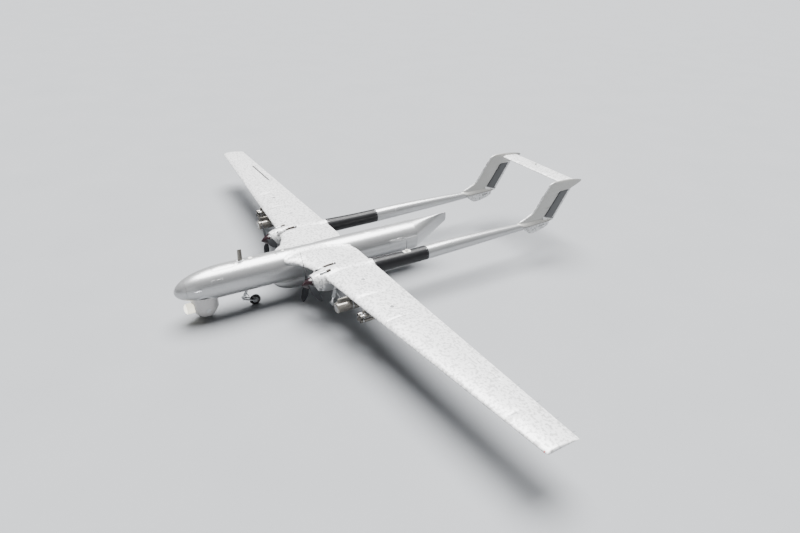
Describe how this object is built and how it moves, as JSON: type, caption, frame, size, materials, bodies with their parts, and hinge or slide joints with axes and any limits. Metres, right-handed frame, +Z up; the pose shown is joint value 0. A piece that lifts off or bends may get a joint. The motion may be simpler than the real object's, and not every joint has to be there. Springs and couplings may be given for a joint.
{
  "type": "fixed wing drone",
  "caption": "High-wing drone with propellers on the wing, tail booms joined by a high tailplane, a nose turret, underwing pods and a wheeled undercarriage.",
  "frame": {"origin": "on the ground, under the middle of the bounding box", "axes": "+Z up, -Y towards the nose, +X towards the drone's left wing tip"},
  "size_m": [24, 16.49, 3.18],
  "materials": {
    "body_white": "satin light grey paint on composite",
    "sleeve_black": "satin black",
    "rudder_grey": "satin dark grey",
    "spinner_maroon": "gloss dark maroon",
    "blade_grey": "satin grey composite",
    "gear_grey": "satin light grey",
    "tyre_rubber": "matt black rubber",
    "rim_metal": "machined aluminium",
    "pod_beige": "satin beige grey with a metallic sheen",
    "window_glass": "cream coated window",
    "engine_metal": "cast aluminium",
    "tray_metal": "anodised aluminium",
    "tank_plastic": "matt cream tank skin"
  },
  "bodies": {
    "airframe": {"nose_cap": "body_white", "fuselage_shell": "body_white", "tail_cone": "body_white", "belly_radome": "body_white", "wing_centre": "body_white", "left_wing_panel": "body_white", "right_wing_panel": "body_white", "left_nacelle": "body_white", "right_nacelle": "body_white", "left_exhaust": "sleeve_black", "right_exhaust": "sleeve_black", "left_engine": "engine_metal", "right_engine": "engine_metal", "left_boom_sleeve": "sleeve_black", "right_boom_sleeve": "sleeve_black", "left_tail_boom": "body_white", "right_tail_boom": "body_white", "left_fin": "body_white", "right_fin": "body_white", "left_ventral_fin": "body_white", "right_ventral_fin": "body_white", "stabilizer": "body_white", "avionics_tray": "tray_metal", "fuel_tank": "tank_plastic", "blade_antenna": "blade_grey", "mast_antenna": "body_white", "left_inner_pylon": "pod_beige", "right_inner_pylon": "pod_beige", "left_inner_pod": "pod_beige", "right_inner_pod": "pod_beige", "left_outer_pylon": "pod_beige", "right_outer_pylon": "pod_beige", "left_outer_pod": "pod_beige", "right_outer_pod": "pod_beige", "nose_leg_housing": "gear_grey", "left_main_leg": "gear_grey", "right_main_leg": "gear_grey"},
    "left_propeller": {"left_spinner": "spinner_maroon", "left_blade_1": "blade_grey", "left_blade_2": "blade_grey", "left_blade_3": "blade_grey"},
    "right_propeller": {"right_spinner": "spinner_maroon", "right_blade_1": "blade_grey", "right_blade_2": "blade_grey", "right_blade_3": "blade_grey"},
    "left_aileron_body": {"left_aileron": "body_white"},
    "right_aileron_body": {"right_aileron": "body_white"},
    "elevator_body": {"elevator": "body_white"},
    "left_rudder_body": {"left_rudder": "rudder_grey"},
    "right_rudder_body": {"right_rudder": "rudder_grey"},
    "turret_yoke": {"turret_collar": "body_white"},
    "turret_head": {"turret_ball": "body_white", "turret_window": "window_glass"},
    "nose_steering": {"nose_fork": "gear_grey"},
    "nose_wheel": {"nose_rim": "rim_metal", "nose_tyre": "tyre_rubber"},
    "left_wheel": {"left_main_rim": "rim_metal", "left_main_tyre": "tyre_rubber"},
    "right_wheel": {"right_main_rim": "rim_metal", "right_main_tyre": "tyre_rubber"}
  },
  "joints": [
    {"name": "left_propeller_spin", "type": "hinge", "parent": "airframe", "child": "left_propeller", "pos_m": [1.93, -4.24, 1.46], "axis": [0, 1, 0], "continuous": true},
    {"name": "right_propeller_spin", "type": "hinge", "parent": "airframe", "child": "right_propeller", "pos_m": [-1.93, -4.24, 1.46], "axis": [0, 1, 0], "continuous": true},
    {"name": "left_aileron_hinge", "type": "hinge", "parent": "airframe", "child": "left_aileron_body", "pos_m": [8.37, -2.035, 1.675], "axis": [1, 0, 0], "range_deg": [-25, 25]},
    {"name": "right_aileron_hinge", "type": "hinge", "parent": "airframe", "child": "right_aileron_body", "pos_m": [-8.37, -2.035, 1.675], "axis": [1, 0, 0], "range_deg": [-25, 25]},
    {"name": "elevator_hinge", "type": "hinge", "parent": "airframe", "child": "elevator_body", "pos_m": [0, 7.715, 3.02], "axis": [1, 0, 0], "range_deg": [-25, 25]},
    {"name": "left_rudder_hinge", "type": "hinge", "parent": "airframe", "child": "left_rudder_body", "pos_m": [1.93, 6.415, 1.694], "axis": [0, 0.57, 0.8216], "range_deg": [-25, 25]},
    {"name": "right_rudder_hinge", "type": "hinge", "parent": "airframe", "child": "right_rudder_body", "pos_m": [-1.93, 6.415, 1.694], "axis": [0, 0.57, 0.8216], "range_deg": [-25, 25]},
    {"name": "turret_pan", "type": "hinge", "parent": "airframe", "child": "turret_yoke", "pos_m": [0, -7.285, 0.52], "axis": [0, 0, 1], "continuous": true},
    {"name": "turret_tilt", "type": "hinge", "parent": "turret_yoke", "child": "turret_head", "pos_m": [0, -7.285, 0.52], "axis": [1, 0, 0], "range_deg": [0, 30]},
    {"name": "nose_steer", "type": "hinge", "parent": "airframe", "child": "nose_steering", "pos_m": [0, -5.765, 0.8], "axis": [0, 0, 1], "range_deg": [-35, 35]},
    {"name": "nose_wheel_spin", "type": "hinge", "parent": "nose_steering", "child": "nose_wheel", "pos_m": [0, -5.515, 0.2], "axis": [1, 0, 0], "continuous": true},
    {"name": "left_wheel_spin", "type": "hinge", "parent": "airframe", "child": "left_wheel", "pos_m": [1.93, -2.72, 0.25], "axis": [1, 0, 0], "continuous": true},
    {"name": "right_wheel_spin", "type": "hinge", "parent": "airframe", "child": "right_wheel", "pos_m": [-1.93, -2.72, 0.25], "axis": [1, 0, 0], "continuous": true}
  ],
  "couplings": [
    {"joint": "right_aileron_hinge", "follows": "left_aileron_hinge", "ratio": -1},
    {"joint": "right_rudder_hinge", "follows": "left_rudder_hinge", "ratio": 1}
  ]
}
